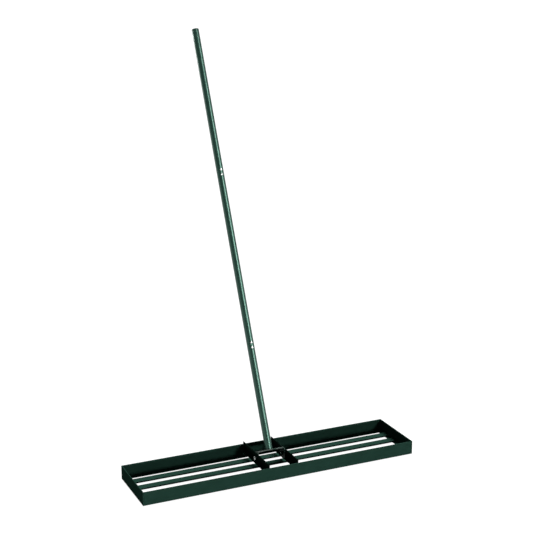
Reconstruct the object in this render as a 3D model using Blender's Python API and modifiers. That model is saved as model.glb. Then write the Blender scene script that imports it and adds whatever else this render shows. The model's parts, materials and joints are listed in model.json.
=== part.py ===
"""Lawn levelling rake: an open steel tray with cross slats and a three-piece tilting handle.

Sizes are metres. +X runs along the tray, +Y from its front wall to its rear wall, +Z up. The origin is
the middle of the front flange's underside, which rests on the ground. The handle leans towards +Y.
"""

import math

import bmesh
import bpy
from mathutils import Matrix, Vector

# Gap between two pieces that touch, and between a bolt and its hole
TOUCH_GAP = 0.0003

# Tray, welded from four angle bars
TRAY_LENGTH = 1.102
TRAY_DEPTH = 0.250
WALL_HEIGHT = 0.0525
BAR_THICKNESS = 0.003
FLANGE_WIDTH = 0.015
EDGE_ROUNDING = 0.0005

# Slats, flat bars that lie on the end walls' flanges
SLAT_WIDTH = 0.031
SLAT_THICKNESS = 0.006
REAR_OPENING = 0.025
MIDDLE_OPENING = 0.028
FRONT_OPENING = 0.0355

# Pivot plates, which stand across the tray from wall to wall
PLATE_SPACING = 0.114
PLATE_THICKNESS = 0.003
PLATE_HEIGHT = 0.046
PLATE_CLEARANCE_BELOW = 0.0175

# Pivot of the handle, and the lean at which it rests
PIVOT_HEIGHT = 0.042
PIVOT_BEHIND_MIDDLE = 0.004
HANDLE_LEAN_DEG = 25.0

# Yoke, a flat strap bent into an upside-down U
YOKE_WIDTH = 0.044
YOKE_THICKNESS = 0.004
YOKE_RISE = 0.0225
YOKE_BEND_RADIUS = 0.003
YOKE_SIDE_CLEARANCE = 0.0004

# Pivot bolts and the nuts welded inside the yoke
PIVOT_BOLT_RADIUS = 0.004
PIVOT_BOLT_LENGTH = 0.014
PIVOT_HEAD_FLATS = 0.013
PIVOT_HEAD_HEIGHT = 0.0053
PIVOT_NUT_HEIGHT = 0.0065

# Handle tubes
TUBE_RADIUS = 0.0145
TUBE_WALL = 0.0015
LOWER_TUBE_LENGTH = 0.402
MIDDLE_TUBE_LENGTH = 0.690
UPPER_TUBE_LENGTH = 0.590

# Joints between the tubes: a sleeve inside, and two cross screws with nuts
SLEEVE_LENGTH = 0.080
SLEEVE_WALL = 0.0015
SCREW_FROM_SEAM = 0.010
SCREW_RADIUS = 0.0025
SCREW_HEAD_RADIUS = 0.0045
SCREW_HEAD_HEIGHT = 0.0027
SCREW_TIP_LENGTH = 0.0015
NUT_FLATS = 0.008
NUT_HEIGHT = 0.004

# End cap
CAP_RIM_HEIGHT = 0.005
CAP_EDGE_RADIUS = 0.0015
CAP_PLUG_LENGTH = 0.018

# Weld beads
BEAD_LEG = 0.003
BEAD_BULGE = 0.0004
BEAD_INSET = 0.002
YOKE_BEAD_LEG = 0.0015

# Mesh resolution
TUBE_SEGMENTS = 32
SMALL_SEGMENTS = 20
HEX_SIDES = 6
ARC_STEPS = 5
LEG_END_STEPS = 20
BEAD_STEPS = 3
SHARP_ANGLE = math.radians(35)
MERGE_DISTANCE = 0.00001
CUTTER_OVERRUN = 0.004

# Places worked out from the sizes above
FRONT_FACE_Y = -FLANGE_WIDTH / 2
REAR_FACE_Y = FRONT_FACE_Y + TRAY_DEPTH
MIDDLE_Y = FRONT_FACE_Y + TRAY_DEPTH / 2
END_FACE_X = TRAY_LENGTH / 2
INSIDE_LENGTH = TRAY_LENGTH - 2 * (BAR_THICKNESS + TOUCH_GAP)
INSIDE_DEPTH = TRAY_DEPTH - 2 * (BAR_THICKNESS + TOUCH_GAP)
SLAT_BOTTOM = BAR_THICKNESS + TOUCH_GAP
SLAT_TOP = SLAT_BOTTOM + SLAT_THICKNESS
REAR_SLAT_Y = REAR_FACE_Y - FLANGE_WIDTH - REAR_OPENING - SLAT_WIDTH / 2
MIDDLE_SLAT_Y = REAR_SLAT_Y - SLAT_WIDTH - MIDDLE_OPENING
FRONT_SLAT_Y = MIDDLE_SLAT_Y - SLAT_WIDTH - FRONT_OPENING
PLATE_INNER_X = PLATE_SPACING / 2
PLATE_OUTER_X = PLATE_INNER_X + PLATE_THICKNESS
PLATE_BOTTOM = PLATE_CLEARANCE_BELOW
PIVOT = Vector((0, MIDDLE_Y + PIVOT_BEHIND_MIDDLE, PIVOT_HEIGHT))
YOKE_OUTER_X = PLATE_INNER_X - YOKE_SIDE_CLEARANCE
YOKE_INNER_X = YOKE_OUTER_X - YOKE_THICKNESS
TUBE_INSIDE = TUBE_RADIUS - TUBE_WALL
SLEEVE_RADIUS = TUBE_INSIDE - TOUCH_GAP
LOWER_TUBE_FOOT = YOKE_RISE + TOUCH_GAP
LOWER_SEAM = LOWER_TUBE_FOOT + LOWER_TUBE_LENGTH + TOUCH_GAP / 2
UPPER_SEAM = LOWER_SEAM + MIDDLE_TUBE_LENGTH + TOUCH_GAP
HANDLE_TOP = UPPER_SEAM + TOUCH_GAP / 2 + UPPER_TUBE_LENGTH
FASTENER_SEAT = TUBE_RADIUS + TOUCH_GAP

# Colour, roughness and metallic value of each material
DARK_GREEN_PAINT = ((0.0185, 0.0529, 0.0382), 0.42, 0.0)
BRIGHT_ZINC = ((0.74, 0.77, 0.75), 0.28, 1.0)
GREEN_PLASTIC = ((0.0152, 0.0423, 0.0307), 0.5, 0.0)


def clear_scene():
    """Remove everything that the new file came with."""
    for thing in list(bpy.data.objects):
        bpy.data.objects.remove(thing, do_unlink=True)
    for group in list(bpy.data.collections):
        bpy.data.collections.remove(group)


def new_collection(name):
    """A collection linked to the scene."""
    group = bpy.data.collections.new(name)
    bpy.context.scene.collection.children.link(group)
    return group


def new_material(name, finish):
    """A Principled material from a colour, a roughness and a metallic value."""
    colour, roughness, metallic = finish
    material = bpy.data.materials.new(name)
    material.use_nodes = True
    shader = material.node_tree.nodes["Principled BSDF"]
    shader.inputs["Base Color"].default_value = (*colour, 1.0)
    shader.inputs["Roughness"].default_value = roughness
    shader.inputs["Metallic"].default_value = metallic
    material.diffuse_color = (*colour, 1.0)
    return material


# Meshes

def mesh_from_bmesh(shape, name):
    """Write a bmesh out as a mesh, with its faces pointing out."""
    bmesh.ops.recalc_face_normals(shape, faces=shape.faces)
    mesh = bpy.data.meshes.new(name)
    shape.to_mesh(mesh)
    shape.free()
    return mesh


def mesh_from_object(source):
    """The evaluated, welded mesh of a temporary object, which is removed."""
    graph = bpy.context.evaluated_depsgraph_get()
    mesh = bpy.data.meshes.new_from_object(source.evaluated_get(graph))
    bpy.data.objects.remove(source, do_unlink=True)
    shape = bmesh.new()
    shape.from_mesh(mesh)
    bmesh.ops.remove_doubles(shape, verts=shape.verts, dist=MERGE_DISTANCE)
    name = mesh.name
    bpy.data.meshes.remove(mesh)
    return mesh_from_bmesh(shape, name)


def box_mesh(size):
    """A box centred on the origin."""
    shape = bmesh.new()
    bmesh.ops.create_cube(shape, size=1.0, matrix=Matrix.Diagonal((*size, 1.0)))
    return mesh_from_bmesh(shape, "box")


def prism_mesh(radius, length, sides):
    """A prism or cylinder along Z, standing on z = 0."""
    shape = bmesh.new()
    bmesh.ops.create_cone(
        shape,
        cap_ends=True,
        segments=sides,
        radius1=radius,
        radius2=radius,
        depth=length,
        matrix=Matrix.Translation((0, 0, length / 2)),
    )
    return mesh_from_bmesh(shape, "prism")


def outline_mesh(points, thickness):
    """A flat outline in the XY plane, extruded by its thickness about z = 0."""
    curve = bpy.data.curves.new("outline", "CURVE")
    curve.dimensions = "2D"
    curve.fill_mode = "BOTH"
    curve.extrude = thickness / 2
    spline = curve.splines.new("POLY")
    spline.points.add(len(points) - 1)
    for point, (x, y) in zip(spline.points, points):
        point.co = (x, y, 0, 1)
    spline.use_cyclic_u = True
    holder = bpy.data.objects.new("outline", curve)
    bpy.context.scene.collection.objects.link(holder)
    return mesh_from_object(holder)


def turned_mesh(profile, closed, segments):
    """A profile of (radius, z) points turned about Z. It runs down its outer side."""
    mesh = bpy.data.meshes.new("profile")
    edges = [(i, i + 1) for i in range(len(profile) - 1)]
    if closed:
        edges.append((len(profile) - 1, 0))
    mesh.from_pydata([(radius, 0, z) for radius, z in profile], edges, [])
    holder = bpy.data.objects.new("profile", mesh)
    bpy.context.scene.collection.objects.link(holder)
    screw = holder.modifiers.new("turn", "SCREW")
    screw.axis = "Z"
    screw.steps = segments
    screw.render_steps = segments
    screw.use_merge_vertices = True
    screw.merge_threshold = MERGE_DISTANCE
    return mesh_from_object(holder)


def arc_points(centre, radius, start_deg, end_deg, steps):
    """Points on an arc, from one angle to the other, ends included."""
    angles = [
        math.radians(start_deg + (end_deg - start_deg) * i / steps)
        for i in range(steps + 1)
    ]
    return [
        (centre[0] + radius * math.cos(a), centre[1] + radius * math.sin(a))
        for a in angles
    ]


# Objects

def add_piece(name, mesh, material, parent=None, location=(0, 0, 0), rotation=(0, 0, 0)):
    """A named piece in the object's own collection, shaded smooth between its sharp edges."""
    piece = bpy.data.objects.new(name, mesh)
    parts.objects.link(piece)
    piece.parent = parent
    piece.location = location
    piece.rotation_euler = rotation
    mesh.materials.clear()
    mesh.materials.append(material)
    mesh.shade_smooth()
    mesh.set_sharp_from_angle(angle=SHARP_ANGLE)
    return piece


def add_cutter(name, mesh, parent=None, location=(0, 0, 0), rotation=(0, 0, 0)):
    """A guide that cuts or trims a piece, and isn't part of the object."""
    cutter = bpy.data.objects.new(name, mesh)
    cutters.objects.link(cutter)
    cutter.parent = parent
    cutter.location = location
    cutter.rotation_euler = rotation
    cutter.hide_render = True
    cutter.display_type = "WIRE"
    return cutter


def round_edges(piece, width=EDGE_ROUNDING):
    """Take the sharpness off a piece's edges."""
    bevel = piece.modifiers.new("edges", "BEVEL")
    bevel.width = width
    bevel.segments = 1
    bevel.limit_method = "ANGLE"
    bevel.angle_limit = SHARP_ANGLE


def shape_with(piece, cutter, operation="DIFFERENCE"):
    """Cut a piece with a cutter, or trim it to a cutter's shape."""
    boolean = piece.modifiers.new(cutter.name, "BOOLEAN")
    boolean.operation = operation
    boolean.object = cutter
    boolean.solver = "EXACT"


# Rotations that stand an outline's plane up: its X points into the tray and its Y points up
ALONG_FRONT = (math.pi / 2, 0, math.pi / 2)
ALONG_REAR = (math.pi / 2, 0, -math.pi / 2)
ALONG_LEFT_END = (math.pi / 2, 0, 0)
ALONG_RIGHT_END = (math.pi / 2, 0, math.pi)
Z_TO_X = Matrix.Rotation(math.pi / 2, 4, "Y")

# Rotations that point a fastener's head to the front or to the rear
FACING_FRONT = (math.pi / 2, 0, 0)
FACING_REAR = (-math.pi / 2, 0, 0)


# Tray

def angle_bar_mesh(length):
    """An L section: the wall stands on the outline's Y axis, the flange lies along its X axis."""
    section = [
        (0, 0),
        (FLANGE_WIDTH, 0),
        (FLANGE_WIDTH, BAR_THICKNESS),
        (BAR_THICKNESS, BAR_THICKNESS),
        (BAR_THICKNESS, WALL_HEIGHT),
        (0, WALL_HEIGHT),
    ]
    return outline_mesh(section, length)


def make_walls():
    """Two full-length angle bars, and two end bars coped to sit on their flanges."""
    for name, y, rotation in (
        ("front_wall", FRONT_FACE_Y, ALONG_FRONT),
        ("rear_wall", REAR_FACE_Y, ALONG_REAR),
    ):
        wall = add_piece(name, angle_bar_mesh(TRAY_LENGTH), paint, None, (0, y, 0), rotation)
        round_edges(wall)

    cope_length = FLANGE_WIDTH - BAR_THICKNESS
    cope_size = (
        FLANGE_WIDTH + 2 * CUTTER_OVERRUN,
        cope_length + CUTTER_OVERRUN,
        SLAT_BOTTOM + CUTTER_OVERRUN,
    )
    cope_y = INSIDE_DEPTH / 2 - cope_length + cope_size[1] / 2
    cope_z = SLAT_BOTTOM - cope_size[2] / 2
    for name, side, rotation in (
        ("left_end_wall", -1, ALONG_LEFT_END),
        ("right_end_wall", 1, ALONG_RIGHT_END),
    ):
        place = (side * END_FACE_X, MIDDLE_Y, 0)
        wall = add_piece(name, angle_bar_mesh(INSIDE_DEPTH), paint, None, place, rotation)
        round_edges(wall)
        cope_x = side * (END_FACE_X - FLANGE_WIDTH / 2)
        for end in (-1, 1):
            cope = add_cutter(
                f"{name}_cope_{end}",
                box_mesh(cope_size),
                location=(cope_x, MIDDLE_Y + end * cope_y, cope_z),
            )
            shape_with(wall, cope)


def make_slats():
    """Three flat bars from end wall to end wall."""
    for name, y in (
        ("rear_slat", REAR_SLAT_Y),
        ("middle_slat", MIDDLE_SLAT_Y),
        ("front_slat", FRONT_SLAT_Y),
    ):
        mesh = box_mesh((INSIDE_LENGTH, SLAT_WIDTH, SLAT_THICKNESS))
        slat = add_piece(name, mesh, paint, None, (0, y, (SLAT_BOTTOM + SLAT_TOP) / 2))
        round_edges(slat)


def make_pivot_plates():
    """Two upright plates that carry the pivot bolts, each with its bolt hole."""
    hole_length = PLATE_THICKNESS + 2 * CUTTER_OVERRUN
    for name, side in (("left_pivot_plate", -1), ("right_pivot_plate", 1)):
        x = side * (PLATE_INNER_X + PLATE_THICKNESS / 2)
        mesh = box_mesh((PLATE_THICKNESS, INSIDE_DEPTH, PLATE_HEIGHT))
        place = (x, MIDDLE_Y, PLATE_BOTTOM + PLATE_HEIGHT / 2)
        plate = add_piece(name, mesh, paint, None, place)
        round_edges(plate)
        hole_mesh = prism_mesh(PIVOT_BOLT_RADIUS + TOUCH_GAP, hole_length, SMALL_SEGMENTS)
        hole_mesh.transform(Z_TO_X)
        hole = add_cutter(
            f"{name}_hole", hole_mesh, location=(x - hole_length / 2, PIVOT.y, PIVOT.z)
        )
        shape_with(plate, hole)


def bead_mesh(length):
    """A fillet bead along Z: its corner is on the Z axis, its legs lie along +X and +Y."""
    face = []
    for i in range(BEAD_STEPS + 2):
        t = i / (BEAD_STEPS + 1)
        swell = BEAD_BULGE * math.sin(math.pi * t) / math.sqrt(2)
        face.append((BEAD_LEG * (1 - t) + swell, BEAD_LEG * t + swell))
    return outline_mesh([(0, 0)] + face, length)


def add_bead(name, mesh, corner, along, legs):
    """Set a bead in a corner, clear of the two faces that its legs lie on."""
    first, second = (Vector(leg) for leg in legs)
    along = Vector(along)
    if first.cross(second).dot(along) < 0:
        first, second = second, first
    turn = Matrix((first, second, along)).transposed()
    place = Vector(corner) + (first + second) * TOUCH_GAP
    add_piece(name, mesh, paint, None, place, turn.to_euler())


def make_tray_welds():
    """Beads in the tray's corners, at the slats' ends and at the pivot plates' ends."""
    inner_x = END_FACE_X - BAR_THICKNESS
    ends = (("left", -1), ("right", 1))
    faces = (
        ("front", FRONT_FACE_Y + BAR_THICKNESS, 1),
        ("rear", REAR_FACE_Y - BAR_THICKNESS, -1),
    )

    corner_bead = bead_mesh(WALL_HEIGHT - BAR_THICKNESS - 2 * BEAD_INSET)
    corner_z = (WALL_HEIGHT + BAR_THICKNESS) / 2
    for word, side in ends:
        for face, y, inward in faces:
            corner = (side * inner_x, y, corner_z)
            legs = ((-side, 0, 0), (0, inward, 0))
            add_bead(f"{face}_{word}_corner_weld", corner_bead, corner, (0, 0, 1), legs)

    slat_bead = bead_mesh(SLAT_WIDTH - 2 * BEAD_INSET)
    for word, side in ends:
        for slat, y in (
            ("rear", REAR_SLAT_Y),
            ("middle", MIDDLE_SLAT_Y),
            ("front", FRONT_SLAT_Y),
        ):
            corner = (side * inner_x, y, SLAT_TOP)
            legs = ((-side, 0, 0), (0, 0, 1))
            add_bead(f"{slat}_slat_{word}_weld", slat_bead, corner, (0, 1, 0), legs)

    bottom = PLATE_BOTTOM + BEAD_INSET
    top = min(WALL_HEIGHT, PLATE_BOTTOM + PLATE_HEIGHT) - BEAD_INSET
    plate_bead = bead_mesh(top - bottom)
    for word, side in ends:
        for place, x, away in (
            ("outer", side * PLATE_OUTER_X, side),
            ("inner", side * PLATE_INNER_X, -side),
        ):
            for face, y, inward in faces:
                name = f"{word}_plate_{face}_{place}_weld"
                corner = (x, y, (bottom + top) / 2)
                add_bead(name, plate_bead, corner, (0, 0, 1), ((away, 0, 0), (0, inward, 0)))


# Handle. Its pieces hang on an empty at the pivot, whose Z axis is the handle's own axis

def make_yoke(axis_empty):
    """The bent strap, with round leg ends, a hole in each leg and the tube's bead on top."""
    outer_radius = YOKE_BEND_RADIUS + YOKE_THICKNESS
    outer_corner = (YOKE_OUTER_X - outer_radius, YOKE_RISE - outer_radius)
    leg_end = -YOKE_WIDTH / 2
    right_outer = arc_points(outer_corner, outer_radius, 0, 90, ARC_STEPS)
    right_inner = arc_points(outer_corner, YOKE_BEND_RADIUS, 90, 0, ARC_STEPS)
    left_outer = [(-x, z) for x, z in reversed(right_outer)]
    left_inner = [(-x, z) for x, z in reversed(right_inner)]
    section = (
        [(YOKE_OUTER_X, leg_end)]
        + right_outer
        + left_outer
        + [(-YOKE_OUTER_X, leg_end), (-YOKE_INNER_X, leg_end)]
        + left_inner
        + right_inner
        + [(YOKE_INNER_X, leg_end)]
    )
    mesh = outline_mesh(section, YOKE_WIDTH)
    yoke = add_piece("swivel_yoke", mesh, paint, axis_empty, (0, 0, 0), (math.pi / 2, 0, 0))

    side_view = arc_points((0, 0), YOKE_WIDTH / 2, 180, 360, LEG_END_STEPS)
    side_top = YOKE_RISE + CUTTER_OVERRUN
    side_view += [(YOKE_WIDTH / 2, side_top), (-YOKE_WIDTH / 2, side_top)]
    trim_mesh = outline_mesh(side_view, 2 * (YOKE_OUTER_X + CUTTER_OVERRUN))
    trim = add_cutter("yoke_trim", trim_mesh, axis_empty, rotation=ALONG_FRONT)
    shape_with(yoke, trim, "INTERSECT")
    round_edges(yoke)

    hole_length = 2 * (YOKE_OUTER_X + CUTTER_OVERRUN)
    hole_mesh = prism_mesh(PIVOT_BOLT_RADIUS + TOUCH_GAP, hole_length, SMALL_SEGMENTS)
    hole_mesh.transform(Z_TO_X)
    hole = add_cutter("yoke_hole", hole_mesh, axis_empty, (-hole_length / 2, 0, 0))
    shape_with(yoke, hole)

    foot = YOKE_RISE + TOUCH_GAP
    inner = TUBE_RADIUS + TOUCH_GAP
    bead_profile = [
        (inner, foot + YOKE_BEAD_LEG),
        (inner + YOKE_BEAD_LEG / 2 + BEAD_BULGE, foot + YOKE_BEAD_LEG / 2 + BEAD_BULGE),
        (inner + YOKE_BEAD_LEG, foot),
        (inner, foot),
    ]
    bead = turned_mesh(bead_profile, True, TUBE_SEGMENTS)
    add_piece("yoke_weld", bead, paint, axis_empty)


def make_pivot_fasteners(axis_empty):
    """A hex bolt through each plate and leg, into a nut welded inside the leg."""
    head_radius = PIVOT_HEAD_FLATS / math.sqrt(3)
    head_seat = PLATE_OUTER_X + TOUCH_GAP
    nut_seat = YOKE_INNER_X - TOUCH_GAP
    for word, side in (("left", -1), ("right", 1)):
        outwards = Matrix.Rotation(side * math.pi / 2, 4, "Y")

        head = prism_mesh(head_radius, PIVOT_HEAD_HEIGHT, HEX_SIDES)
        head.transform(outwards)
        bolt = add_piece(f"{word}_pivot_bolt", head, zinc, axis_empty, (side * head_seat, 0, 0))
        round_edges(bolt)
        reach = PIVOT_BOLT_LENGTH + PIVOT_HEAD_HEIGHT / 2
        shank_mesh = prism_mesh(PIVOT_BOLT_RADIUS, reach, SMALL_SEGMENTS)
        shank_mesh.transform(Matrix.Translation((0, 0, -PIVOT_BOLT_LENGTH)))
        shank_mesh.transform(outwards)
        shank = add_cutter(
            f"{word}_pivot_shank", shank_mesh, axis_empty, (side * head_seat, 0, 0)
        )
        shape_with(bolt, shank, "UNION")

        nut_mesh = prism_mesh(head_radius, PIVOT_NUT_HEIGHT, HEX_SIDES)
        nut_mesh.transform(Matrix.Translation((0, 0, -PIVOT_NUT_HEIGHT)))
        nut_mesh.transform(outwards)
        nut = add_piece(f"{word}_pivot_nut", nut_mesh, paint, axis_empty, (side * nut_seat, 0, 0))
        round_edges(nut)
        bore_length = PIVOT_NUT_HEIGHT + 2 * CUTTER_OVERRUN
        bore_mesh = prism_mesh(PIVOT_BOLT_RADIUS + TOUCH_GAP, bore_length, SMALL_SEGMENTS)
        bore_mesh.transform(Matrix.Translation((0, 0, CUTTER_OVERRUN - bore_length)))
        bore_mesh.transform(outwards)
        bore = add_cutter(
            f"{word}_pivot_nut_bore", bore_mesh, axis_empty, (side * nut_seat, 0, 0)
        )
        shape_with(nut, bore)


def pipe_mesh(outer, inner, bottom, top):
    """A straight pipe about Z."""
    profile = [(outer, top), (outer, bottom), (inner, bottom), (inner, top)]
    return turned_mesh(profile, True, TUBE_SEGMENTS)


def add_screw_holes(piece, axis_empty, seams):
    """Cross holes for the two screws of each joint that the piece is part of."""
    length = 2 * (TUBE_RADIUS + CUTTER_OVERRUN)
    for seam in seams:
        for side in (-1, 1):
            mesh = prism_mesh(SCREW_RADIUS + TOUCH_GAP, length, SMALL_SEGMENTS)
            place = (0, length / 2, seam + side * SCREW_FROM_SEAM)
            name = f"{piece.name}_hole_{seam:.3f}_{side}"
            cutter = add_cutter(name, mesh, axis_empty, place, FACING_FRONT)
            shape_with(piece, cutter)


def make_tubes(axis_empty):
    """Three tubes end to end, drilled for the joint screws."""
    for name, bottom, length, seams in (
        ("lower_tube", LOWER_TUBE_FOOT, LOWER_TUBE_LENGTH, (LOWER_SEAM,)),
        (
            "middle_tube",
            LOWER_SEAM + TOUCH_GAP / 2,
            MIDDLE_TUBE_LENGTH,
            (LOWER_SEAM, UPPER_SEAM),
        ),
        ("upper_tube", UPPER_SEAM + TOUCH_GAP / 2, UPPER_TUBE_LENGTH, (UPPER_SEAM,)),
    ):
        mesh = pipe_mesh(TUBE_RADIUS, TUBE_INSIDE, bottom, bottom + length)
        tube = add_piece(name, mesh, paint, axis_empty)
        add_screw_holes(tube, axis_empty, seams)


def screw_mesh():
    """A round-headed screw along Z, its head above z = 0."""
    head_sphere = (SCREW_HEAD_RADIUS**2 + SCREW_HEAD_HEIGHT**2) / (2 * SCREW_HEAD_HEIGHT)
    centre_z = SCREW_HEAD_HEIGHT - head_sphere
    rim_deg = math.degrees(math.asin(-centre_z / head_sphere))
    dome = arc_points((0, centre_z), head_sphere, 90, rim_deg, ARC_STEPS)
    dome[0] = (0, SCREW_HEAD_HEIGHT)
    shank_end = -2 * FASTENER_SEAT - NUT_HEIGHT - SCREW_TIP_LENGTH
    shank = [(SCREW_RADIUS, 0), (SCREW_RADIUS, shank_end), (0, shank_end)]
    return turned_mesh(dome + shank, False, SMALL_SEGMENTS)


def nut_mesh():
    """A hex nut along Z with its bore, standing on z = 0."""
    body_mesh = prism_mesh(NUT_FLATS / math.sqrt(3), NUT_HEIGHT, HEX_SIDES)
    body = bpy.data.objects.new("nut", body_mesh)
    bpy.context.scene.collection.objects.link(body)
    bore_length = NUT_HEIGHT + 2 * CUTTER_OVERRUN
    bore_mesh = prism_mesh(SCREW_RADIUS + TOUCH_GAP, bore_length, SMALL_SEGMENTS)
    bore = bpy.data.objects.new("nut_bore", bore_mesh)
    bore.location = (0, 0, -CUTTER_OVERRUN)
    bpy.context.scene.collection.objects.link(bore)
    round_edges(body)
    shape_with(body, bore)
    mesh = mesh_from_object(body)
    bpy.data.objects.remove(bore, do_unlink=True)
    return mesh


def make_tube_joints(axis_empty):
    """A sleeve inside each seam, with its two screws from the front and two nuts behind."""
    screw = screw_mesh()
    nut = nut_mesh()
    for word, seam in (("lower", LOWER_SEAM), ("upper", UPPER_SEAM)):
        mesh = pipe_mesh(
            SLEEVE_RADIUS,
            SLEEVE_RADIUS - SLEEVE_WALL,
            seam - SLEEVE_LENGTH / 2,
            seam + SLEEVE_LENGTH / 2,
        )
        sleeve = add_piece(f"{word}_joint_sleeve", mesh, paint, axis_empty)
        add_screw_holes(sleeve, axis_empty, (seam,))

        for number, side in (("first", -1), ("second", 1)):
            height = seam + side * SCREW_FROM_SEAM
            front = (0, -FASTENER_SEAT, height)
            back = (0, FASTENER_SEAT, height)
            name = f"{word}_joint_{number}"
            add_piece(f"{name}_screw", screw, zinc, axis_empty, front, FACING_FRONT)
            add_piece(f"{name}_nut", nut, zinc, axis_empty, back, FACING_REAR)


def make_end_cap(axis_empty):
    """A plastic cap with a rounded rim and a plug that fits inside the tube."""
    foot = HANDLE_TOP + TOUCH_GAP
    top = foot + CAP_RIM_HEIGHT
    edge_centre = (TUBE_RADIUS - CAP_EDGE_RADIUS, top - CAP_EDGE_RADIUS)
    plug_radius = TUBE_INSIDE - TOUCH_GAP
    profile = [(0, top)]
    profile += arc_points(edge_centre, CAP_EDGE_RADIUS, 90, 0, BEAD_STEPS)
    profile += [
        (TUBE_RADIUS, foot),
        (plug_radius, foot),
        (plug_radius, foot - CAP_PLUG_LENGTH),
        (0, foot - CAP_PLUG_LENGTH),
    ]
    add_piece("end_cap", turned_mesh(profile, False, TUBE_SEGMENTS), plastic, axis_empty)


def make_handle():
    """Everything that tilts, on an empty whose X axis is the pivot."""
    axis_empty = bpy.data.objects.new("handle_axis", None)
    parts.objects.link(axis_empty)
    axis_empty.location = PIVOT
    axis_empty.rotation_euler = (-math.radians(HANDLE_LEAN_DEG), 0, 0)
    make_yoke(axis_empty)
    make_pivot_fasteners(axis_empty)
    make_tubes(axis_empty)
    make_tube_joints(axis_empty)
    make_end_cap(axis_empty)


clear_scene()
parts = new_collection("lawn_leveling_rake")
cutters = new_collection("cutters")
paint = new_material("dark_green_paint", DARK_GREEN_PAINT)
zinc = new_material("bright_zinc", BRIGHT_ZINC)
plastic = new_material("green_plastic", GREEN_PLASTIC)

make_walls()
make_slats()
make_pivot_plates()
make_tray_welds()
make_handle()
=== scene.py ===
"""Looks of the lawn levelling rake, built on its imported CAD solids.

Lengths are metres, and degrees where a name says so. +X runs along the tray, +Y from its front wall to its
rear wall, +Z up. Places are read from the solids, so every piece sits where its solid does.
"""

import json
import logging
import math
from collections.abc import Mapping, Sequence
from dataclasses import dataclass
from enum import Enum
from typing import Any

import bmesh
import bpy
import numpy as np
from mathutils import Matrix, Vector


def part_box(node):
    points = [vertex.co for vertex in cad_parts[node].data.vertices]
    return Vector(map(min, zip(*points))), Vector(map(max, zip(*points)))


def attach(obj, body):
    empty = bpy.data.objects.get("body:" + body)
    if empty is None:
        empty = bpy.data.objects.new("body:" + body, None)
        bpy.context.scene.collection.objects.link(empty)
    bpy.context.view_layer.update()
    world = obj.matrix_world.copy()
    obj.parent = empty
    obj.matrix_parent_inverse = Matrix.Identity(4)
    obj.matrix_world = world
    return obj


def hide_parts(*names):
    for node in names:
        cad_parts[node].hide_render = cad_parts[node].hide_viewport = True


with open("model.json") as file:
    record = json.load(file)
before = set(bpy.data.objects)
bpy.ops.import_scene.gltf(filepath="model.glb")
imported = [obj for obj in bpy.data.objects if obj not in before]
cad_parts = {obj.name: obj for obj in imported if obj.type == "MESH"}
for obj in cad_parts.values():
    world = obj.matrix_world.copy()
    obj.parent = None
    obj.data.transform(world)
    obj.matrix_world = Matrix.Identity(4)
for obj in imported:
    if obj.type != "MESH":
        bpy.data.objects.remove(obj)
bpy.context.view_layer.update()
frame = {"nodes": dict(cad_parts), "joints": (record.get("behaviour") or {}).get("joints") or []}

log = logging.getLogger("lawn_rake")

MM = 0.001

# Points nearer than this are merged, and faces that meet at a larger angle than this keep a sharp edge
MERGE_DISTANCE = 1e-6
SHARP_DEG = 32.0

# Fall of the cone that cuts a hexagon's corners, for each unit of radius
CONE_SLOPE = math.tan(math.radians(30))

# Blender's types of a node tree and of a node's socket
Tree = bpy.types.NodeTree
Socket = bpy.types.NodeSocket


class Slot(Enum):
    """Material slots of the record."""

    PAINT = "dark_green_paint"
    ZINC = "bright_zinc"
    PLASTIC = "green_plastic"


class Body(Enum):
    """Rigid bodies of the rake."""

    TRAY = "tray"
    HANDLE = "handle"


class Side(Enum):
    """The two sides of the plane X = 0, with the sign of X on each."""

    LEFT = -1
    RIGHT = 1

    @property
    def word(self) -> str:
        """The side's name as the nodes spell it."""
        return self.name.lower()


# Colour and nodes


def linear_from_hex(code: str) -> tuple[float, float, float, float]:
    """Turn an sRGB hex colour into linear light.

    Each channel c is c / 12.92 up to 0.04045, and ((c + 0.055) / 1.055) to the power 2.4 above it.

    Args:
        code: Six hex digits.

    Returns:
        Linear red, green and blue, and an alpha of 1.
    """
    srgb = np.array([int(code[i : i + 2], 16) for i in (0, 2, 4)]) / 255
    linear = np.where(srgb <= 0.04045, srgb / 12.92, ((srgb + 0.055) / 1.055) ** 2.4)
    return (float(linear[0]), float(linear[1]), float(linear[2]), 1.0)


def add_node(
    tree: Tree,
    kind: str,
    settings: Mapping[str | int, Any],
    links: Mapping[str | int, Socket],
) -> bpy.types.Node:
    """Add a node with its settings and links.

    Args:
        tree: The node tree that gets the node.
        kind: Blender's name of the node type.
        settings: Values by name. A name in small letters is a property, any other key an input socket.
        links: Output sockets of earlier nodes, by the input socket that each goes to.

    Returns:
        The new node.
    """
    node = tree.nodes.new(kind)
    for key, value in settings.items():
        if isinstance(key, str) and key.islower():
            setattr(node, key, value)
        else:
            node.inputs[key].default_value = value
    for key, socket in links.items():
        tree.links.new(socket, node.inputs[key])
    return node


def new_material(name: str) -> tuple[bpy.types.Material, Tree]:
    """Make an empty node material.

    Args:
        name: The material's name.

    Returns:
        The material, and its node tree with no nodes yet.
    """
    material = bpy.data.materials.new(name)
    material.use_nodes = True
    material.node_tree.nodes.clear()
    return material, material.node_tree


# Sockets of the Mix node when it mixes colours
MIX_FACTOR = 0
MIX_FIRST = 6
MIX_SECOND = 7
MIX_RESULT = 2

# Finishes


@dataclass(frozen=True)
class Coat:
    """A finish made into a material, with the record's slot that it belongs to."""

    material: bpy.types.Material
    slot: Slot


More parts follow.
